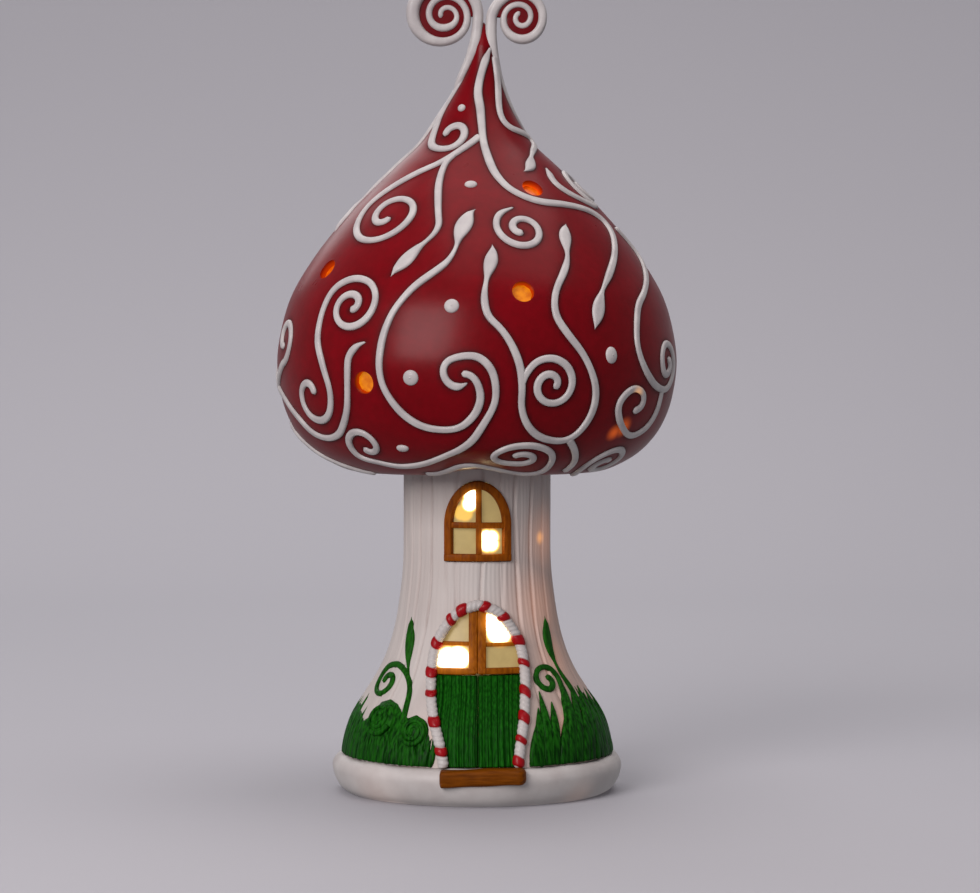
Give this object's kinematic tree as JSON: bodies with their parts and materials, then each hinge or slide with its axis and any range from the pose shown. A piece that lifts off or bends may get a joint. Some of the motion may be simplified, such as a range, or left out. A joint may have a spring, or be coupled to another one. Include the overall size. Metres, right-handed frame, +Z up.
{
  "type": "lit mushroom house decoration",
  "caption": "Battery-lit table decoration: a glossy red mushroom cap with raised white scrolls and a curled tip on a fluted white stem with a candy-cane door, a window and a snow base.",
  "frame": {"origin": "middle of the flat ring the house stands on", "axes": "+Z up the stem to the curled tip, -Y out of the door, +X to the right seen from the front"},
  "size_m": [0.1701, 0.1721, 0.3408],
  "materials": {
    "cap_red": "cast resin painted deep red under a glossy varnish, with faint brushed shading",
    "lens_amber": "clear amber plastic disc, lit from behind",
    "scroll_white": "raised cast scrolls painted warm white, satin, darker along their edges",
    "stem_white": "cast resin painted warm white, satin, grey-rose wash in the flutes",
    "frame_brown": "moulded frame painted wood brown with darker grain strokes",
    "pane_warm": "frosted warm pane, lit from behind",
    "door_green": "moulded planks painted green with darker grooves",
    "candy_stripe": "round cane painted white with red bands",
    "step_brown": "moulded step painted wood brown",
    "grass_green": "raised leaves painted green with lighter tips",
    "snow_white": "smooth cast rim painted snow white, satin",
    "plastic_black": "moulded black plastic with a fine texture",
    "cell_jacket": "plain wrapped dry cell",
    "plated_steel": "bright plated steel",
    "board_white": "white coated circuit strip",
    "lamp_warm": "clear epoxy lamp, warm white",
    "lead_red": "soft red lead sleeve"
  },
  "bodies": {
    "house": {"cap_shell": "cap_red", "lens_front_top": "lens_amber", "lens_front_middle": "lens_amber", "lens_front_low": "lens_amber", "lens_left": "lens_amber", "lens_back_right": "lens_amber", "lens_back_left": "lens_amber", "tip_curl_left": "scroll_white", "tip_curl_right": "scroll_white", "curl_web_left": "cap_red", "curl_web_right": "cap_red", "scroll_heart": "scroll_white", "scroll_long_tail": "scroll_white", "scroll_left": "scroll_white", "scroll_left_low": "scroll_white", "scroll_lyre": "scroll_white", "scroll_small": "scroll_white", "scroll_right": "scroll_white", "scroll_rim_front": "scroll_white", "scroll_rim_right": "scroll_white", "scroll_rim_left": "scroll_white", "scroll_back_heart": "scroll_white", "scroll_back_lyre": "scroll_white", "scroll_back_right": "scroll_white", "scroll_back_left": "scroll_white", "scroll_rim_back": "scroll_white", "vine_neck_left": "scroll_white", "vine_neck_right": "scroll_white", "stem_shell": "stem_white", "window_frame": "frame_brown", "window_pane": "pane_warm", "door_leaf_left": "door_green", "door_leaf_right": "door_green", "door_window_frame": "frame_brown", "door_pane": "pane_warm", "candy_arch": "candy_stripe", "doorstep": "step_brown", "grass_left": "grass_green", "grass_right": "grass_green", "grass_back": "grass_green", "frond_left": "grass_green", "frond_right": "grass_green", "snow_base": "snow_white", "base_plate": "plastic_black", "battery_cell_1": "cell_jacket", "battery_cell_2": "cell_jacket", "battery_cell_3": "cell_jacket", "contact_left": "plated_steel", "contact_right": "plated_steel", "base_screw_1": "plated_steel", "base_screw_2": "plated_steel", "base_screw_3": "plated_steel", "switch_body": "plastic_black", "lamp_board": "board_white", "lamp_door": "lamp_warm", "lamp_window": "lamp_warm", "lamp_cap": "lamp_warm", "lamp_lead": "lead_red"},
    "battery_door_body": {"battery_door": "plastic_black"},
    "switch_knob_body": {"switch_knob": "plastic_black"}
  },
  "joints": [
    {"name": "battery_door_slide", "type": "slide", "parent": "house", "child": "battery_door_body", "axis": [0, 1, 0], "range_m": [0, 0.009]},
    {"name": "switch_slide", "type": "slide", "parent": "house", "child": "switch_knob_body", "axis": [1, 0, 0], "range_m": [-0.0025, 0.0025]}
  ]
}
